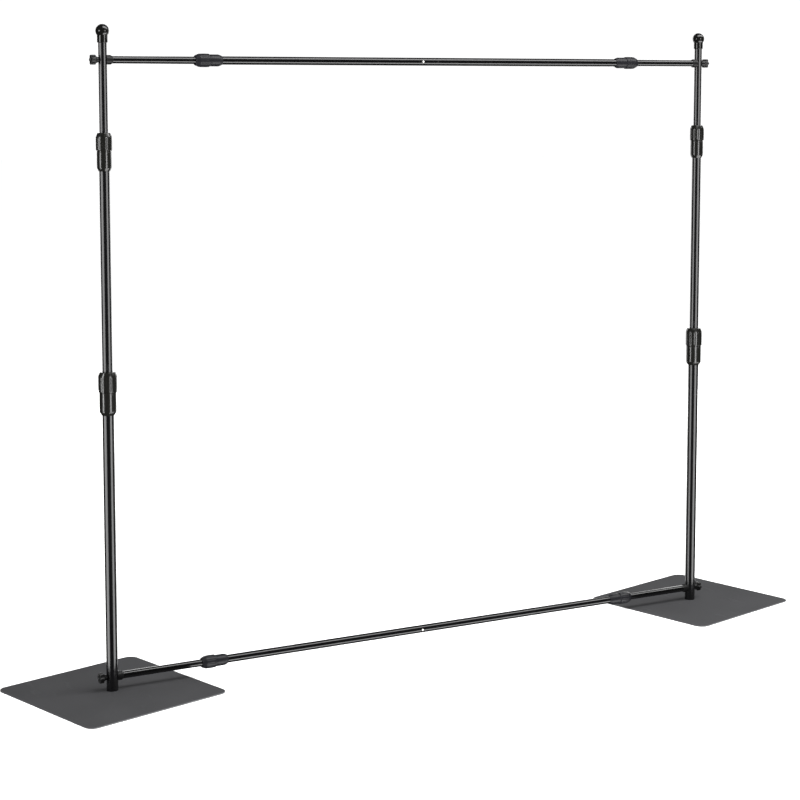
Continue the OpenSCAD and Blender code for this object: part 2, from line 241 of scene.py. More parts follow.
def middle_of(node):
    """Middle of a CAD node along X and along Z."""
    low, high = box_of(node)
    return (low[0] + high[0]) / 2, (low[2] + high[2]) / 2


def nodes_ending(*ends):
    """CAD nodes whose names end in one of these ways."""
    return [node for name, node in frame["nodes"].items() if name.endswith(ends)]


def radius_of(node, axis):
    """Half the width of a CAD node along one axis: 0 for X, 1 for Y, 2 for Z."""
    low, high = box_of(node)
    return (high[axis] - low[axis]) / 2


def rounded(points, cuts, closed=True, steps=6):
    """Profile whose corners are parabolas.

    A and B lie on a corner's two edges at the given cut from the corner C. The profile follows
    (1-t)^2 A + 2t(1-t) C + t^2 B as t goes from 0 to 1, and any further columns go with it.
    """
    corner = np.asarray(points, float)
    cut = np.broadcast_to(np.asarray(cuts, float), len(corner)).copy()
    if not closed:
        cut[[0, -1]] = 0

    def along(edge):
        reach = np.linalg.norm(edge[:, :2], axis=1)
        return edge * np.minimum(cut / np.maximum(reach, TINY), CUT_SHARE)[:, None]

    start = corner + along(np.roll(corner, 1, 0) - corner)
    end = corner + along(np.roll(corner, -1, 0) - corner)
    t = np.linspace(0, 1, steps)[None, :, None]
    arcs = (1 - t) ** 2 * start[:, None] + 2 * t * (1 - t) * corner[:, None] + t**2 * end[:, None]
    line = arcs.reshape(-1, corner.shape[1])
    kept = np.linalg.norm(np.diff(line, axis=0), axis=1) > TINY
    return line[np.r_[True, kept]]


def filled(line, step, closed=True):
    """Profile with every edge longer than step cut into equal parts no longer than step."""
    ring = np.vstack([line, line[:1]]) if closed else line
    edge = np.diff(ring, axis=0)
    parts = np.maximum(np.ceil(np.linalg.norm(edge[:, :2], axis=1) / step - 1e-6), 1).astype(int)
    which = np.repeat(np.arange(len(edge)), parts)
    first = np.repeat(np.cumsum(parts) - parts, parts)
    share = (np.arange(parts.sum()) - first) / parts[which]
    made = ring[which] + edge[which] * share[:, None]
    return made if closed else np.vstack([made, ring[-1:]])


def rubbed(line, closed=True):
    """How far each profile point stands out as a convex edge, from 0 to 1.

    The turn from one edge of the profile to the next, over the distance between their middles,
    is the curvature. It counts from WEAR_FROM to WEAR_FULL, which are per metre, and only where
    the profile is convex.
    """
    ring = line[:, :2]
    back, ahead = ring - np.roll(ring, 1, 0), np.roll(ring, -1, 0) - ring
    turn = np.arctan2(
        back[:, 0] * ahead[:, 1] - back[:, 1] * ahead[:, 0], (back * ahead).sum(1))
    reach = (np.linalg.norm(back, axis=1) + np.linalg.norm(ahead, axis=1)) / 2
    nxt = np.roll(ring, -1, 0)
    area = (ring[:, 0] * nxt[:, 1] - nxt[:, 0] * ring[:, 1]).sum()
    curve = np.sign(area) * turn / np.maximum(reach, TINY)
    if not closed:
        curve[[0, -1]] = 0
    return np.clip((curve - WEAR_FROM) / (WEAR_FULL - WEAR_FROM), 0, 1)


def laid(local, origin, turn):
    """Points on a piece's own axes, moved to origin and laid along one of TURNS."""
    return np.asarray(origin) + local @ np.array(TURNS[turn])


def turned(line, origin, turn, count, relief=None, closed=True):
    """Surface of revolution with relief.

    The profile point (r, s) and the angle a give (q cos a, q sin a, s + d), where the relief
    gives q - r and d for every profile point and angle. An open profile starts and ends on the
    axis.
    """
    angle = np.arange(count)[None, :] * (2 * math.pi / count)
    r, s = line[:, :1], line[:, 1:2]
    out, up = relief(angle, line) if relief else (0, 0)
    q = np.maximum(r + out, 0) * (r > 0)
    height = s + up + 0 * angle
    local = np.stack([q * np.cos(angle), q * np.sin(angle), height], -1)
    wear = np.repeat(rubbed(line, closed)[:, None], count, 1)
    return SimpleNamespace(points=laid(local, origin, turn), wear=wear, rows=closed, columns=True)


def ended(line, local, origin, turn):
    """Profile line carried along a path to the points local, and closed at both ends.

    Past the path's first and last place the profile shrinks to its own middle.
    """
    middle = np.repeat(local[:, [0, -1]].mean(0, keepdims=True), len(line), 0)
    local = np.concatenate([middle[:, :1], local, middle[:, 1:]], 1)
    wear = np.repeat(rubbed(line)[:, None], local.shape[1], 1)
    return SimpleNamespace(points=laid(local, origin, turn), wear=wear, rows=True, columns=False)


def wedge(line, origin, turn, start, end, count):
    """Part of a ring: the profile is turned as in turned(), from angle start to angle end."""
    angle = np.linspace(start, end, count)[None, :]
    local = np.stack(
        [line[:, :1] * np.cos(angle), line[:, :1] * np.sin(angle), line[:, 1:2] + 0 * angle], -1)
    return ended(line, local, origin, turn)


def quads(index):
    """Four-sided faces between the neighbouring rows and columns of a grid of point numbers."""
    corners = (index[:-1, :-1], index[1:, :-1], index[1:, 1:], index[:-1, 1:])
    return np.stack(corners, -1).reshape(-1, 4)


def piece(name, patches, finish, node):
    """Mesh object made of grids of points, which stands for a CAD node and rides on its body.

    A grid's first and last row or column are joined too where it is closed that way.
    """
    points, faces, wear, count = [], [], [], 0
    for patch in patches:
        rows, columns = patch.points.shape[:2]
        index = np.arange(rows * columns).reshape(rows, columns) + count
        index = np.vstack([index, index[:1]]) if patch.rows else index
        index = np.hstack([index, index[:, :1]]) if patch.columns else index
        faces.append(quads(index))
        points.append(patch.points.reshape(-1, 3))
        wear.append(patch.wear.ravel())
        count += rows * columns
    mesh = bpy.data.meshes.new(name)
    mesh.from_pydata(np.vstack(points).tolist(), [], np.vstack(faces).tolist())
    mesh.attributes.new("wear", "FLOAT", "POINT").data.foreach_set("value", np.concatenate(wear))
    work = bmesh.new()
    work.from_mesh(mesh)
    bmesh.ops.remove_doubles(work, verts=work.verts, dist=WELD)
    bmesh.ops.recalc_face_normals(work, faces=work.faces)
    work.to_mesh(mesh)
    work.free()
    mesh.shade_smooth()
    mesh.set_sharp_from_angle(angle=SHARP)
    mesh.materials.append(finish)
    made = bpy.data.objects.new(name, mesh)
    bpy.context.scene.collection.objects.link(made)
    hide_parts(node)
    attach(made, BODY_OF[node])
    return made


# --- finishes ---------------------------------------------------------------------------------


class Level:
    """A shader value. Python's operators on it add the Math nodes."""

    def __init__(self, finish, socket):
        self.finish, self.socket = finish, socket

    def __add__(self, other):
        return self.finish.math("ADD", self, other)

    def __sub__(self, other):
        return self.finish.math("SUBTRACT", self, other)

    def __rsub__(self, other):
        return self.finish.math("SUBTRACT", other, self)

    def __mul__(self, other):
        return self.finish.math("MULTIPLY", self, other)

    def __abs__(self):
        return self.finish.math("ABSOLUTE", self)

    __radd__, __rmul__ = __add__, __mul__


class Finish:
    """One procedural finish that ends in a Principled shader."""

    def __init__(self, name):
        self.material = bpy.data.materials.new(name)
        self.material.use_nodes = True
        self.tree = self.material.node_tree
        self.tree.nodes.clear()
        self.place = self.node("ShaderNodeTexCoord", output="Object")

    def node(self, kind, settings=None, inputs=None, output=0):
        """Adds a node. Its settings come first, then the values or links of its sockets."""
        made = self.tree.nodes.new(kind)
        for key, setting in (settings or {}).items():
            setattr(made, key, setting)
        for key, given in (inputs or {}).items():
            if isinstance(given, Level):
                self.tree.links.new(given.socket, made.inputs[key])
            else:
                made.inputs[key].default_value = given
        return Level(self, made.outputs[output]) if made.outputs else None

    def math(self, operation, *terms):
        """A Math node on one, two or three values."""
        return self.node("ShaderNodeMath", {"operation": operation}, dict(enumerate(terms)))

    def along(self, axis):
        """Distance along X, Y or Z."""
        return self.node("ShaderNodeSeparateXYZ", None, {0: self.place}, axis)

    def grain(self, scale, detail=2.0, stretch=(1, 1, 1)):
        """Noise from 0 to 1 with scale grains per metre, drawn out along an axis by stretch."""
        at = self.node("ShaderNodeMapping", None, {"Vector": self.place, "Scale": stretch})
        return self.node(
            "ShaderNodeTexNoise", None, {"Vector": at, "Scale": scale, "Detail": detail})

    def cells(self, scale):
        """Distance to the nearest of scattered points, scale of them per metre."""
        return self.node("ShaderNodeTexVoronoi", None, {"Vector": self.place, "Scale": scale})

    def step(self, value, low, high):
        """Smooth step from 0 at low to 1 at high."""
        return self.node(
            "ShaderNodeMapRange", {"interpolation_type": "SMOOTHSTEP"},
            {"Value": value, "From Min": low, "From Max": high})

    def band(self, value, centre, half):
        """1 at centre, and down to 0 at half away from it."""
        return 1 - self.step(abs(value - centre), 0.3 * half, half)

    def wear(self):
        """How rubbed an edge is, from the piece's own attribute."""
        return self.node("ShaderNodeAttribute", {"attribute_name": "wear"}, output="Fac")

    def blend(self, share, first, second):
        """Colour between two colours."""
        return self.node(
            "ShaderNodeMix", {"data_type": "RGBA"}, {0: share, 6: first, 7: second}, 2)

    def bump(self, height, strength, distance):
        """Normal from a height field."""
        return self.node(
            "ShaderNodeBump", None,
            {"Height": height, "Strength": strength, "Distance": distance})

    def shade(self, **sockets):
        """Ends the finish in a Principled shader with these sockets, and gives the material."""
        named = {key.replace("_", " "): given for key, given in sockets.items()}
        shader = self.node("ShaderNodeBsdfPrincipled", None, named)
        self.node("ShaderNodeOutputMaterial", None, {"Surface": shader})
        return self.material


def tone(colour, factor=1.0):
    """Colour with alpha, made lighter or darker."""
    return (*(min(part * factor, 1) for part in colour), 1)


def tube_paint(name, axis, drawn, marks):
    """Gloss black paint on tubes: orange peel, drag marks along the tube and dull rub rings.

    marks are the places along the axis, from its middle, where a lock has rubbed the paint.
    """
    look = bpy.context.scene.stand_finishes
    coat = Finish(name)
    peel = coat.grain(110, 2)
    drag = coat.step(coat.grain(900, 3, drawn), 0.60, 0.78)
    cloud = coat.grain(9, 3)
    place = coat.along(axis)
    rubbing = sum(coat.band(place, mark, RUB_HALF) for mark in marks) * coat.step(
        coat.grain(700, 3, drawn), 0.35, 0.7)
    colour = coat.blend(
        0.35 * drag + 0.5 * rubbing, tone(look.tube_black), tone(look.tube_black, 4))
    rough = look.tube_gloss + 0.05 * (cloud - 0.5) + 0.06 * drag + 0.16 * rubbing
    return coat.shade(
        Base_Color=colour, Roughness=rough, Normal=coat.bump(peel, 0.06, 0.0002))


def moulded(name, colour, roughness, sheen=0.5, texture=0.08):
    """Moulded plastic: spark-eroded grain, soft blotches, and edges rubbed light and smooth."""
    coat = Finish(name)
    grain, blotch, edge = coat.grain(2400, 2), coat.grain(70, 3), coat.wear()
    scuff = coat.step(coat.grain(420, 4), 0.58, 0.72)
    shine = coat.step(coat.grain(160, 2), 0.3, 0.7)
    tint = coat.blend(
        0.14 * blotch + 0.16 * scuff + 0.5 * edge, tone(colour), tone(colour, 3))
    rough = roughness + 0.08 * (shine - 0.5) + 0.06 * scuff - 0.06 * edge
    height = 0.7 * grain + 0.3 * coat.cells(1500)
    return coat.shade(
        Base_Color=tint, Roughness=rough, Specular_IOR_Level=sheen,
        Normal=coat.bump(height, texture, 0.00008))


def powder_coat(name, colour):
    """Powder-coated sheet: fine pebbled grain, faint clouds, scuffs, and edges rubbed lighter."""
    coat = Finish(name)
    pebble = coat.grain(700, 3)
    cloud, edge = coat.grain(5, 3), coat.wear()
    speck = coat.step(coat.grain(330, 4), 0.62, 0.74)
    scuff = coat.step(coat.grain(26, 5, (1, 0.25, 1)), 0.60, 0.72)
    tint = coat.blend(
        0.30 * cloud + 0.18 * speck + 0.10 * scuff + 0.8 * edge, tone(colour, 0.9),
        tone(colour, 1.9))
    rough = 0.56 + 0.10 * (cloud - 0.5) + 0.06 * speck - 0.10 * scuff - 0.12 * edge
    height = 0.8 * pebble + 0.2 * coat.cells(1200)
    return coat.shade(
        Base_Color=tint, Roughness=rough, Normal=coat.bump(height, 0.16, 0.0002))


def plated_steel(name, colour, drawn):
    """Plated steel: fine tool marks drawn out along the part, and dull spots."""
    coat = Finish(name)
    lines, spot = coat.grain(1500, 3, drawn), coat.step(coat.grain(240, 3), 0.55, 0.75)
    tint = coat.blend(0.5 * lines + 0.4 * spot, tone(colour), tone(colour, 0.6))
    rough = 0.24 + 0.12 * lines + 0.14 * spot
    return coat.shade(
        Base_Color=tint, Metallic=1.0, Roughness=rough, Normal=coat.bump(lines, 0.08, 0.0001))


def nylon(name, colour):
    """Grey nylon: matt, a little cloudy, with a fine grain."""
    coat = Finish(name)
    cloud, grain = coat.grain(90, 3), coat.grain(1800, 2)
    tint = coat.blend(cloud, tone(colour, 0.85), tone(colour, 1.2))
    return coat.shade(
        Base_Color=tint, Roughness=0.52 + 0.12 * cloud, Normal=coat.bump(grain, 0.1, 0.0001))


# --- the stand --------------------------------------------------------------------------------


def lock_at(origin, turn, outer, inner, body_r, body_len, rim_r, nut_len):
    """The radii and lengths of one lock around its seam."""
    neck_r = body_r - NECK_STEP
    return SimpleNamespace(
        origin=origin, turn=turn, outer=outer, inner=inner, body_r=body_r, body_len=body_len,
        rim_r=rim_r, nut_len=nut_len, neck_r=neck_r, thread_r=neck_r + RUNNING,
        mouth_r=inner + MOUTH_GAP)


def upright_lock(side, level):
    """The lock at a tube's end on one upright: level is lower or upper."""
    tubes = ("lower", "mid", "top")[level == "upper":]
    body, nut_node = f"{side}_{level}_lock_body", f"{side}_{level}_lock_nut"
    low, high = box_of(body)
    seam = high[2] - LOCK_NECK
    return lock_at(
        (middle_of(body)[0], 0, seam), "up", radius_of(f"{side}_{tubes[0]}_tube", 0),
        radius_of(f"{side}_{tubes[1]}_tube", 0), radius_of(body, 0), seam - low[2],
        radius_of(nut_node, 0), box_of(nut_node)[1][2] - seam)


def bar_lock(bar, side):
    """The lock at the outer end of a crossbar's middle tube."""
    tube, nut_node = f"{bar}_{side}_bar_tube", f"{bar}_{side}_bar_lock_nut"
    outer, sign = (1, 1) if side == "right" else (0, -1)
    seam = box_of(tube)[outer][0] - sign * LOCK_SEAT
    return lock_at(
        (seam, 0, middle_of(tube)[1]), OUTWARD[side], radius_of(tube, 2),
        radius_of(f"{bar}_{side}_rod", 2), radius_of(f"{bar}_bar_lock_bodies", 2),
        bpy.context.scene.stand_sizes.bar_lock_len, radius_of(nut_node, 2),
        abs(box_of(nut_node)[outer][0] - seam))


def sleeve(lock):
    """Lock body: rounded foot, plain barrel with a groove near its seam, and the threaded neck."""
    sizes = bpy.context.scene.stand_sizes
    groove, floor, slope = 0.35 * MM, (-3.8 * MM, -3.0 * MM), 0.4 * MM
    points = [
        (lock.outer + SNUG, -lock.body_len),
        (lock.outer + sizes.foot_lip, -lock.body_len),
        (lock.body_r, sizes.foot_cone - lock.body_len),
        (lock.body_r, floor[0] - slope),
        (lock.body_r - groove, floor[0]),
        (lock.body_r - groove, floor[1]),
        (lock.body_r, floor[1] + slope),
        (lock.body_r, 0),
        (lock.neck_r, 0),
        (lock.neck_r, LOCK_NECK),
        (lock.inner + COLLET_GAP, LOCK_NECK),
        (lock.inner + COLLET_GAP, LOCK_SEAT),
        (lock.outer + SNUG, LOCK_SEAT),
    ]
    cuts = np.array([0.2, 0.6, 3.5, 0.15, 0.15, 0.15, 0.15, 0.7, 0.2, 0.5, 0.2, 0.2, 0.2]) * MM
    line = filled(rounded(points, cuts), step=4 * MM)
    return turned(line, lock.origin, lock.turn, sizes.around)


def fingers(lock):
    """The four slit fingers that grip the rod, past the neck of a crossbar lock."""
    tip, root, root_wall = LOCK_NECK + COLLET_LEN, LOCK_NECK - 0.5 * MM, 1.5 * MM
    cone = lock.thread_r + (lock.mouth_r - lock.thread_r) * (
        tip - LOCK_NECK - THREAD_RELIEF) / (COLLET_LEN + CONE_END - THREAD_RELIEF)
    points = [
        (lock.inner + COLLET_GAP, root),
        (lock.neck_r - root_wall, root),
        (lock.thread_r - COLLET_GAP, LOCK_NECK + THREAD_RELIEF),
        (cone - COLLET_GAP, tip),
        (lock.inner + RUNNING, tip),
    ]
    line = rounded(points, 0.4 * MM, steps=4)
    slit = math.asin(FINGER_SLIT / 2 / lock.inner)
    pitch = 2 * math.pi / FINGERS
    return [
        wedge(line, lock.origin, lock.turn, i * pitch + slit, (i + 1) * pitch - slit, count=14)
        for i in range(FINGERS)]


def nut(lock, barrel):
    """Lock nut: bevelled rim, fluted grip, rounded shoulder and a smooth threaded bore.

    The grip's radius is less by depth (0.5 + 0.5 cos(n a))^6 where n flutes are cut, and more by
    barrel (1 - x^2), where x goes from -1 to 1 over the grip.
    """
    sizes = bpy.context.scene.stand_sizes
    rim, start, edge = lock.rim_r - barrel, 0.5 * MM, 1.5 * MM
    nose = lock.nut_len - sizes.nose_len
    points = [
        (lock.thread_r, start, 0),
        (rim - edge, start, 0),
        (rim, start + edge, 0),
        (rim, start + 2 * edge, 0),
        (rim, start + 3 * edge, 1),
        (rim, nose - 2 * edge, 1),
        (rim, nose - edge, 0),
        (rim, nose, 0),
        (lock.rim_r - sizes.nose_inset, lock.nut_len, 0),
        (lock.mouth_r, lock.nut_len, 0),
        (lock.mouth_r, LOCK_NECK + COLLET_LEN + CONE_END, 0),
        (lock.thread_r, LOCK_NECK + THREAD_RELIEF, 0),
    ]
    cuts = np.array([0.3, 0.8, 0.8, 0.3, 1.0, 1.0, 0.3, 5.0, 1.6, 0.5, 0.3, 0.3]) * MM
    line = filled(rounded(points, cuts), step=1.6 * MM)
    middle, half = (start + nose) / 2, (nose - start) / 2

    def relief(angle, rows):
        flute = (0.5 + 0.5 * np.cos(sizes.flute_count * angle)) ** 6
        swell = np.clip(1 - ((rows[:, 1:2] - middle) / half) ** 2, 0, 1)
        outside = rows[:, :1] > rim - 0.1 * MM
        return -sizes.flute_depth * rows[:, 2:3] * flute + barrel * swell * outside, 0

    return turned(line, lock.origin, lock.turn, PER_FLUTE * sizes.flute_count, relief)


def end_place(bar, side):
    """Where a crossbar meets an upright, with the upright's radius and the cap's play on it."""
    tube, rod = f"{side}_{'top' if bar == 'top' else 'lower'}_tube", f"{bar}_{side}_rod"
    return SimpleNamespace(
        origin=(middle_of(tube)[0], 0, middle_of(rod)[1]), seat=radius_of(tube, 0),
        play=LOOSE if (bar, side) == ("top", "right") else SNUG, rod_r=radius_of(rod, 2))


def end_cap(bar, side):
    """Cap with a saddle for the upright, a grooved barrel, a bevel, and a plug inside the rod.

    On the saddle a point at radius r and angle a stands at the larger of
    sqrt(seat^2 - (r cos a)^2) and seat - horn, rounded where the two meet. The share in the
    profile's third column says how far a point follows the saddle.
    """
    sizes = bpy.context.scene.stand_sizes
    place = end_place(bar, side)
    seat = place.seat + place.play
    node = f"{bar}_{side}_end_plug"
    cap_r, rod_wall, past_screw = radius_of(node, 2), 1.2 * MM, 2 * MM
    far = max(abs(corner[0] - place.origin[0]) for corner in box_of(node))
    plug_r = place.rod_r - rod_wall - SNUG
    end = place.seat + sizes.cap_len
    bevel = end - sizes.cap_bevel
    bore, bottom = sizes.screw_r + place.play, end + sizes.screw_grip + past_screw
    groove, floor, slope = 0.4 * MM, (bevel - 3.4 * MM, bevel - 2.4 * MM), 0.6 * MM
    points = [
        (0, bottom, 0),
        (bore, bottom, 0),
        (bore, seat + 2 * MM, 0),
        (bore, seat, 1),
        (cap_r, seat, 1),
        (cap_r, floor[0] - slope, 0),
        (cap_r - groove, floor[0], 0),
        (cap_r - groove, floor[1], 0),
        (cap_r, floor[1] + slope, 0),
        (cap_r, bevel, 0),
        (place.rod_r, end, 0),
        (plug_r, end, 0),
        (plug_r, far, 0),
        (0, far, 0),
    ]
    cuts = np.array([0, 0.5, 0.1, 0.5, 0.7, 0.2, 0.2, 0.2, 0.2, 1.2, 0.4, 0.1, 0.8, 0]) * MM
    line = filled(rounded(points, cuts, closed=False), step=1.6 * MM, closed=False)

    def relief(angle, rows):
        across = rows[:, :1] * np.cos(angle)
        curve = np.sqrt(np.maximum(seat**2 - across**2, 0))
        horn, blend = place.seat - sizes.saddle_horn, 0.3 * MM
        saddle = (curve + horn + np.hypot(curve - horn, blend)) / 2
        return 0, rows[:, 2:3] * (saddle - seat)

    return turned(line, place.origin, INWARD[side], sizes.around, relief, closed=False)


def knob_head(bar, side):
    """Knob: dished face, rounded lobes that run down into a tapered neck.

    A lobe's outline is d cos b + sqrt(R^2 - d^2 sin^2 b), where b is the angle from the lobe's
    middle, R its radius and d how far its centre stands out. What of it passes the core is added
    to the profile's radius in the share that the third column gives.
    """
    sizes = bpy.context.scene.stand_sizes
    place = end_place(bar, side)
    node = f"{bar}_{side}_knob"
    low, high = box_of(node)
    outer = high[0] - place.origin[0] if side == "right" else place.origin[0] - low[0]
    reach = radius_of(node, 2)
    back = place.seat + 0.5 * MM
    under = outer - sizes.knob_head
    core, neck, neck_flare, dish = sizes.knob_core_r, 7.5 * MM, 1.5 * MM, 1.4 * MM
    points = [
        (0, outer - dish, 0),
        (core * 0.45, outer - dish, 0),
        (core * 0.52, outer, 0),
        (core, outer, 1),
        (core, under, 1),
        (core - 0.5 * MM, under - 1.2 * MM, 0.25),
        (neck + neck_flare, back + 5 * MM, 0),
        (neck, back, 0),
        (0, back, 0),
    ]
    cuts = np.array([0, 0.8, 0.8, 2.2, 1.8, 1.0, 3.0, 0.6, 0]) * MM
    line = filled(rounded(points, cuts, closed=False), step=1.3 * MM, closed=False)
    pitch, stand, blend = 2 * math.pi / sizes.lobe_count, reach - sizes.lobe_r, 0.9 * MM

    def relief(angle, rows):
        b = (angle + pitch / 2) % pitch - pitch / 2
        swing = np.sqrt(np.maximum(sizes.lobe_r**2 - (stand * np.sin(b)) ** 2, 0))
        gain = np.where(swing > 0, stand * np.cos(b) + swing, 0) - core
        gain = (gain + np.hypot(gain, blend)) / 2
        return rows[:, 2:3] * np.minimum(gain, reach - core), 0

    count = PER_LOBE * sizes.lobe_count
    return turned(line, place.origin, OUTWARD[side], count, relief, closed=False)


def knob_screw(bar, side):
    """Screw of a knob: radius R - depth w(s / pitch - a / 2 pi), where w is a triangle wave."""
    sizes = bpy.context.scene.stand_sizes
    place = end_place(bar, side)
    tip = place.seat + sizes.cap_len + sizes.screw_grip
    root = place.seat + 7 * MM
    r, pitch, depth, bevel = sizes.screw_r, sizes.thread_pitch, 0.35 * MM, 1.2 * MM
    points = [(0, -root, 0), (r, -root, 0), (r, 0, 1), (r, tip - bevel, 1),
              (r - bevel, tip, 0), (0, tip, 0)]
    line = filled(np.array(points), step=pitch / 5, closed=False)

    def relief(angle, rows):
        wave = abs((rows[:, 1:2] / pitch - angle / (2 * math.pi)) % 1 - 0.5) * 2
        return -depth * rows[:, 2:3] * wave, 0

    return turned(line, place.origin, INWARD[side], count=32, relief=relief, closed=False)


def finial_ball(side):
    """Ball on a sleeve that caps the top tube, with a bevelled foot and a bore for the tube."""
    node, tube = f"{side}_finial", f"{side}_top_tube"
    low, high = box_of(node)
    tube_r, tube_top = radius_of(tube, 0), box_of(tube)[1][2]
    ball_r, wall = radius_of(node, 0), 3 * MM
    middle, bore, skirt = high[2] - ball_r, tube_r + SNUG, tube_r + wall
    meet = math.pi - math.asin(skirt / ball_r)
    sweep = np.linspace(0, meet, 40)
    ball = np.stack([ball_r * np.sin(sweep), middle + ball_r * np.cos(sweep)], 1)
    ball[0, 0] = 0
    bevel_high, bevel_in = 1.6 * MM, 1.1 * MM
    foot = [(skirt, low[2] + bevel_high), (skirt - bevel_in, low[2]), (bore, low[2]),
            (bore, tube_top), (0, tube_top)]
    line = np.vstack([ball, foot])
    cuts = np.r_[0 * sweep[1:], np.array([0.9, 0.9, 0.4, 0.3, 0, 0]) * MM]
    line = filled(rounded(line, cuts, closed=False), step=2.5 * MM, closed=False)
    around = bpy.context.scene.stand_sizes.around
    return turned(line, (middle_of(node)[0], 0, 0), "up", around, closed=False)


def plate_sheet(side):
    """Base plate: a turned sheet with rounded corners, rounded edges and a countersunk hole.

    The outline at inset e is c + (R - e)(cos a, sin a), where c is the middle of the corner's
    circle in the quarter of a. A row lies at a share of the way from a circle round the bolt to
    that outline, and the edge is a quarter circle in inset and height, above and below.
    """
    sizes = bpy.context.scene.stand_sizes
    node = f"{side}_base_plate"
    radius, edge, top = sizes.plate_corner, sizes.plate_round, box_of(node)[1][2]
    cos, sin = math.cos(sizes.plate_turn), math.sin(sizes.plate_turn)
    half = (radius_of(node, 0) - radius) / (cos + abs(sin)) + radius
    quarter = np.linspace(0, math.pi / 2, 17)
    angle = (quarter[None] + np.arange(4)[:, None] * math.pi / 2).ravel()
    sign = np.repeat([[1, 1], [-1, 1], [-1, -1], [1, -1]], len(quarter), 0)
    spread = np.stack([np.cos(angle), np.sin(angle)], 1)
    both = np.hstack([sign * (half - radius) + radius * spread, sign * (half - radius), spread])
    both = filled(both, step=20 * MM)
    outline, aim = both[:, :2], both[:, 4:6]
    ray = outline / np.linalg.norm(outline, axis=1)[:, None]

    bend = np.linspace(0, math.pi / 2, 6)
    share = np.r_[0, 0.03, 0.12, 0.3, 0.55, 0.8, 0.96, 0.995]
    ones, none = np.ones(6), np.zeros(len(share))
    way = np.r_[share, ones, ones, share[::-1], 0]
    inset = np.r_[
        none + edge, edge * (1 - np.sin(bend)), edge * (1 - np.cos(bend)), none + edge, edge]
    lip = top - 0.2 * MM
    height = np.r_[
        none + top, top - edge * (1 - np.cos(bend)), edge * (1 - np.sin(bend)), none, lip]
    round_r = np.r_[none + sizes.bolt_hole, 0 * ones, 0 * ones, none + sizes.sink_r,
                    sizes.bolt_hole]
    rubbing = np.r_[none, np.sin(bend), np.cos(bend), none, 0]

    line = outline[None] - inset[:, None, None] * aim[None]
    flat = way[:, None, None] * line + ((1 - way) * round_r)[:, None, None] * ray[None]
    flat = flat @ np.array([[cos, sin], [-sin, cos]]) + [middle_of(node)[0], 0]
    points = np.concatenate([flat, np.repeat(height[:, None, None], len(outline), 1)], 2)
    wear = np.repeat(rubbing[:, None], len(outline), 1)
    return SimpleNamespace(points=points, wear=wear, rows=True, columns=True)


def button_place(bar):
    """Where a spring button's axis crosses its crossbar's."""
    across, up = middle_of(f"{bar}_bar_button")
    return across, 0, up


def button_pin(bar):
    """Spring button: domed pin with a flange."""
    low, high = box_of(f"{bar}_bar_button")
    tip, foot = -low[1], LEAF_THICK - high[1]
    flange_r, flange, pin_r, flat_r = 5.5 * MM, 1 * MM, 4 * MM, 1.6 * MM
    points = [(0, foot), (flange_r, foot), (flange_r, foot + flange), (pin_r, foot + flange),
              (pin_r, tip - 0.5 * MM), (flat_r, tip), (0, tip)]
    cuts = np.array([0, 0.25, 0.25, 0.3, 1.3, 1.2, 0]) * MM
    line = filled(rounded(points, cuts, closed=False), step=0.8 * MM, closed=False)
    return turned(line, button_place(bar), "front", count=48, closed=False)


def button_leaf(bar):
    """Leaf spring under the button: a rounded strip whose ends bow away by sag (x / half)^2."""
    node = f"{bar}_bar_button"
    half, foot = radius_of(node, 0), -box_of(node)[1][1]
    top, wide, sag = foot + LEAF_THICK, 3 * MM, 1.2 * MM
    loop = rounded([(-wide, top), (wide, top), (wide, foot), (-wide, foot)], 0.3 * MM, steps=4)
    along = np.linspace(-half, half, 25)
    sink = sag * (along / half) ** 2
    local = np.stack([
        along[None] + 0 * loop[:, :1],
        loop[:, :1] + 0 * along[None],
        loop[:, 1:2] - sink[None]], -1)
    return ended(loop, local, button_place(bar), "front")


class STAND_OT_base_plates(Operator):
    """Builds the two powder-coated base plates"""

    bl_idname = "stand.base_plates"
    bl_label = "Base plates"

    def execute(self, context):
        coat = powder_coat("plate powder coat", context.scene.stand_finishes.plate_grey)
        for side in SIDES:
            piece(f"{side}_plate_sheet", [plate_sheet(side)], coat,
                  f"{side}_base_plate")
        return {"FINISHED"}


class STAND_OT_tubes(Operator):
    """Paints the upright tubes, the crossbars' middle tubes and the sliding rods"""

    bl_idname = "stand.tubes"
    bl_label = "Tubes and rods"

    def execute(self, context):
        tops = [box_of(f"left_{level}_lock_nut")[1][2] for level in LEVELS]
        upright = tube_paint(
            "upright gloss black", "Z", (1, 1, 0.02), [top + RUB_PAST for top in tops])
        left, right = (box_of(f"top_{side}_bar_lock_nut") for side in SIDES)
        crossbar = tube_paint(
            "crossbar gloss black", "X", (0.02, 1, 1),
            [left[0][0] - RUB_PAST, right[1][0] + RUB_PAST])
        for node in nodes_ending("lower_tube", "mid_tube", "top_tube"):
            node.data.materials[0] = upright
        for node in nodes_ending("bar_tube", "rod"):
            node.data.materials[0] = crossbar
        return {"FINISHED"}


class STAND_OT_upright_locks(Operator):
    """Builds the lower and upper locks of both uprights"""

    bl_idname = "stand.upright_locks"
    bl_label = "Upright locks"

    def execute(self, context):
        satin = moulded("lock satin black", context.scene.stand_finishes.lock_black, 0.21)
        for side in SIDES:
            for level in LEVELS:
                lock = upright_lock(side, level)
                piece(f"{side}_{level}_lock_sleeve", [sleeve(lock)], satin,
                      f"{side}_{level}_lock_body")
                piece(f"{side}_{level}_lock_grip", [nut(lock, 0.3 * MM)], satin,
                      f"{side}_{level}_lock_nut")
        return {"FINISHED"}


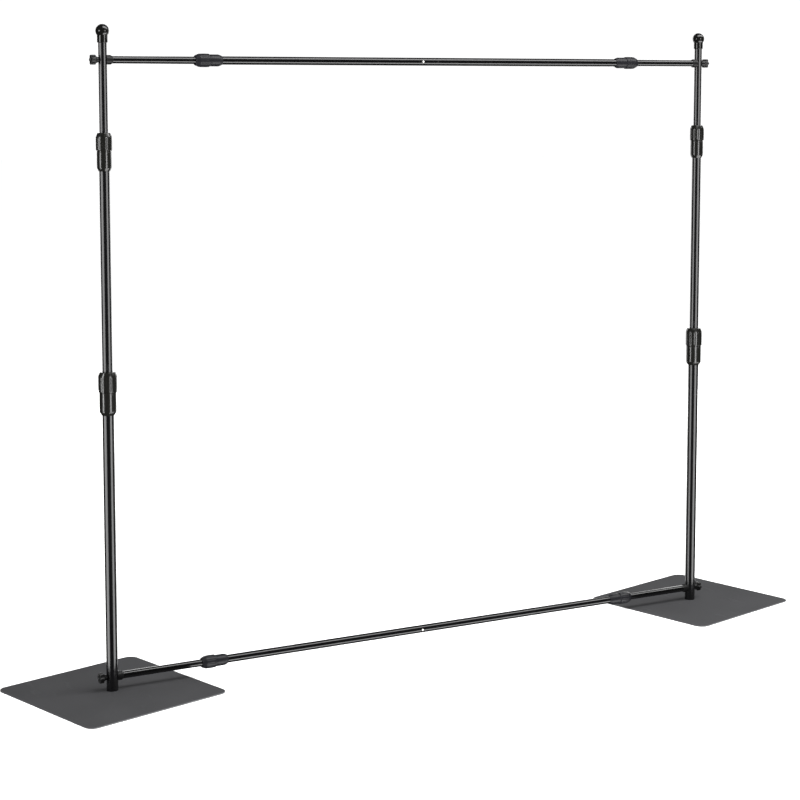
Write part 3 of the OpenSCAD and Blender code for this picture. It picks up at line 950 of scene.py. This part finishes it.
class STAND_OT_bar_locks(Operator):
    """Builds the locks of both crossbars"""

    bl_idname = "stand.bar_locks"
    bl_label = "Crossbar locks"

    def execute(self, context):
        charcoal = moulded(
            "lock charcoal", context.scene.stand_finishes.lock_charcoal, 0.42, 0.28, 0.14)
        for bar in BARS:
            locks = {side: bar_lock(bar, side) for side in SIDES}
            bodies = [part for lock in locks.values() for part in (sleeve(lock), *fingers(lock))]
            piece(f"{bar}_bar_lock_sleeves", bodies, charcoal,
                  f"{bar}_bar_lock_bodies")
            for side, lock in locks.items():
                piece(f"{bar}_{side}_bar_lock_grip", [nut(lock, 0.6 * MM)], charcoal,
                      f"{bar}_{side}_bar_lock_nut")
        return {"FINISHED"}


class STAND_OT_end_caps(Operator):
    """Builds the saddle caps at the crossbars' ends"""

    bl_idname = "stand.end_caps"
    bl_label = "End caps"

    def execute(self, context):
        matt = moulded("cap matt black", context.scene.stand_finishes.cap_black, 0.46, 0.3)
        for bar, side in ENDS:
            piece(f"{bar}_{side}_saddle_cap", [end_cap(bar, side)], matt,
                  f"{bar}_{side}_end_plug")
        return {"FINISHED"}


class STAND_OT_knobs(Operator):
    """Builds the lobed knobs and their screws"""

    bl_idname = "stand.knobs"
    bl_label = "Knobs"

    def execute(self, context):
        finishes = context.scene.stand_finishes
        matt = moulded("knob matt black", finishes.cap_black, 0.36, 0.4)
        steel = plated_steel("screw steel", finishes.bright_steel, (0.1, 1, 1))
        for bar, side in ENDS:
            node = f"{bar}_{side}_knob"
            piece(f"{node}_head", [knob_head(bar, side)], matt, node)
            piece(f"{node}_screw", [knob_screw(bar, side)], steel, node)
        return {"FINISHED"}


class STAND_OT_finials(Operator):
    """Builds the ball finials on both uprights"""

    bl_idname = "stand.finials"
    bl_label = "Finials"

    def execute(self, context):
        gloss = moulded(
            "finial gloss black", context.scene.stand_finishes.ball_black, 0.16, 0.5, 0.02)
        for side in SIDES:
            piece(f"{side}_ball_finial", [finial_ball(side)], gloss,
                  f"{side}_finial")
        return {"FINISHED"}


class STAND_OT_buttons(Operator):
    """Builds the spring buttons that hold the crossbars' halves together"""

    bl_idname = "stand.buttons"
    bl_label = "Spring buttons"

    def execute(self, context):
        steel = plated_steel(
            "button steel", context.scene.stand_finishes.bright_steel, (1, 0.3, 1))
        for bar in BARS:
            piece(f"{bar}_spring_button", [button_pin(bar), button_leaf(bar)], steel,
                  f"{bar}_bar_button")
        return {"FINISHED"}


class STAND_OT_inner_parts(Operator):
    """Finishes the guides, plugs, collets, bolts and spigots, whose CAD shape is kept"""

    bl_idname = "stand.inner_parts"
    bl_label = "Inner parts"

    def execute(self, context):
        finishes = context.scene.stand_finishes
        grey = nylon("guide grey nylon", finishes.nylon_grey)
        spigot = plated_steel("spigot steel", finishes.bright_steel, (0.05, 1, 1))
        bolt = plated_steel("bolt steel", finishes.bright_steel, (1, 1, 0.1))
        for ends, finish in (
                (("guide", "foot_plug", "collet"), grey), (("spigot",), spigot),
                (("bolt",), bolt)):
            for node in nodes_ending(*ends):
                node.data.materials[0] = finish
        return {"FINISHED"}


# --- the studio -------------------------------------------------------------------------------


def aim(obj, place, target):
    """Sets a light at place, facing target."""
    obj.location = place
    toward = np.array(target, float) - np.array(place, float)
    toward /= np.linalg.norm(toward)
    obj.rotation_euler = (math.acos(-toward[2]), 0, math.atan2(-toward[0], toward[1]))


def soft_box(name, place, target, size, power):
    """Rectangular soft box that faces target."""
    light = bpy.data.lights.new(name, "AREA")
    light.shape, light.size, light.size_y, light.energy = "RECTANGLE", *size, power
    made = bpy.data.objects.new(name, light)
    bpy.context.scene.collection.objects.link(made)
    aim(made, place, target)
    made.visible_camera = False
    return made


def ending(*ends):
    """Objects whose names end in one of these ways."""
    return [obj for obj in bpy.data.objects if obj.name.endswith(ends)]


def link_light(light, objects, state):
    """Tells a light to leave objects out, or to light nothing but them."""
    group = bpy.data.collections.new(f"{light.name} objects")
    for obj in objects:
        group.objects.link(obj)
    for entry in group.collection_objects:
        entry.light_linking.link_state = state
    light.light_linking.receiver_collection = group


def white_room(scene, fill):
    """White room, which lights matt surfaces and is dark in gloss, as black flags make it."""
    world = bpy.data.worlds.new("white room")
    scene.world = world
    world.cycles.sampling_method = "NONE"
    world.use_nodes = True
    tree = world.node_tree
    tree.nodes.clear()
    rays = tree.nodes.new("ShaderNodeLightPath")
    mix = tree.nodes.new("ShaderNodeMixShader")
    out = tree.nodes.new("ShaderNodeOutputWorld")
    tree.links.new(rays.outputs["Is Glossy Ray"], mix.inputs[0])
    for socket, strength in ((1, fill), (2, FLAG_LIGHT)):
        white = tree.nodes.new("ShaderNodeBackground")
        white.inputs["Color"].default_value = (1, 1, 1, 1)
        white.inputs["Strength"].default_value = strength
        tree.links.new(white.outputs[0], mix.inputs[socket])
    tree.links.new(mix.outputs[0], out.inputs["Surface"])


class STAND_OT_studio(Operator):
    """Builds the pale floor, the soft boxes, the white room and the camera"""

    bl_idname = "stand.studio"
    bl_label = "Studio"

    def execute(self, context):
        scene, studio = context.scene, context.scene.stand_studio
        span = np.linspace(-FLOOR_REACH, FLOOR_REACH, 9)
        across, back = np.meshgrid(span, span, indexing="ij")
        grid = np.stack([across, back, 0 * across - FLOOR_DROP], -1)
        index = np.arange(across.size).reshape(across.shape)
        mesh = bpy.data.meshes.new("studio_floor")
        mesh.from_pydata(grid.reshape(-1, 3).tolist(), [], quads(index).tolist())
        pale = Finish("pale floor")
        cloud = pale.grain(0.7, 2)
        mesh.materials.append(pale.shade(
            Base_Color=pale.blend(cloud, (0.93, 0.93, 0.93, 1), (0.95, 0.95, 0.95, 1)),
            Roughness=0.9, Specular_IOR_Level=0.0))
        floor = bpy.data.objects.new("studio_floor", mesh)
        scene.collection.objects.link(floor)
        floor.visible_glossy = floor.visible_diffuse = floor.visible_shadow = False

        white_room(scene, studio.fill)
        sheets, balls = ending("plate_sheet"), ending("ball_finial")
        uprights = ending("lock_sleeve", "lower_lock_grip", "upper_lock_grip")
        moulded_parts = uprights + ending("lock_sleeves", "bar_lock_grip", "cap", "knob_head")
        others = moulded_parts + balls + sheets + nodes_ending("bar_tube", "rod")
        side, strip, ball, rear = (
            studio.side_power, studio.strip_power, studio.ball_power, studio.rear_power)
        for name, offset, size, height, power, objects, state in (
                ("left soft box", -57, (4.2, 6.4), 1, side, others, "EXCLUDE"),
                ("right soft box", 57, (4.2, 6.4), 1, side, others, "EXCLUDE"),
                ("left strip box", -56, (1.1, 6.4), 1, 1.3 * strip, moulded_parts, "INCLUDE"),
                ("right strip box", 37, (1.5, 6.4), 1, 1.6 * strip, uprights, "INCLUDE"),
                ("left ball lamp", -48, (1.3, 1.3), 2, ball, balls, "INCLUDE"),
                ("right ball lamp", 48, (1.3, 1.3), 2, ball, balls, "INCLUDE"),
                ("rear left soft box", -155, (2.0, 6.0), 1, rear, sheets, "EXCLUDE"),
                ("rear right soft box", 155, (2.0, 6.0), 1, rear, sheets, "EXCLUDE")):
            bearing = studio.turn + math.pi - math.radians(offset)
            target = np.array([0, 0, height])
            place = target + LIGHT_REACH * np.array([math.sin(bearing), math.cos(bearing), 0])
            link_light(soft_box(name, place, target, size, power), objects, state)
        soft_box("top soft box", (2.5, -1.6, 5), (2.5, -1.59, 0), (7, 2.4), studio.top_power)
        soft_box("low soft box", (3.2, -4.2, -3), (3.2, -4.19, 0), (8, 4), studio.low_power)

        camera = bpy.data.cameras.new("camera")
        camera.sensor_width, camera.lens, camera.shift_y = 36, studio.lens, studio.shift
        camera.dof.use_dof = False
        view = bpy.data.objects.new("camera", camera)
        scene.collection.objects.link(view)
        view.location = studio.camera_place
        view.rotation_euler = (math.pi / 2 - studio.dip, 0, -studio.turn)
        scene.camera = view
        scene.view_settings.view_transform = "Standard"
        return {"FINISHED"}


class STAND_PT_panel(Panel):
    """Sidebar panel of the stand's pieces, sizes, finishes and studio"""

    bl_idname = "STAND_PT_panel"
    bl_label = "Backdrop frame"
    bl_space_type = "VIEW_3D"
    bl_region_type = "UI"
    bl_category = "Backdrop"

    def draw(self, context):
        for operator in OPERATORS:
            self.layout.operator(operator.bl_idname)
        for settings in (context.scene.stand_sizes, context.scene.stand_finishes,
                         context.scene.stand_studio):
            box = self.layout.box()
            for name in settings.__annotations__:
                box.prop(settings, name)


OPERATORS = (
    STAND_OT_base_plates, STAND_OT_tubes, STAND_OT_upright_locks, STAND_OT_bar_locks,
    STAND_OT_end_caps, STAND_OT_knobs, STAND_OT_finials, STAND_OT_buttons,
    STAND_OT_inner_parts, STAND_OT_studio,
)
GROUPS = {"stand_sizes": StandSizes, "stand_finishes": StandFinishes, "stand_studio": StandStudio}
CLASSES = (*GROUPS.values(), *OPERATORS, STAND_PT_panel)


def register():
    """Registers the classes and hangs the settings on the scene."""
    for cls in CLASSES:
        bpy.utils.register_class(cls)
    for name, group in GROUPS.items():
        setattr(bpy.types.Scene, name, PointerProperty(type=group))


def unregister():
    """Undoes register()."""
    for name in GROUPS:
        delattr(bpy.types.Scene, name)
    for cls in reversed(CLASSES):
        bpy.utils.unregister_class(cls)


def main():
    """Builds the whole stand and its studio."""
    register()
    for operator in OPERATORS:
        group, name = operator.bl_idname.split(".")
        getattr(getattr(bpy.ops, group), name)()


if __name__ == "__main__":
    main()
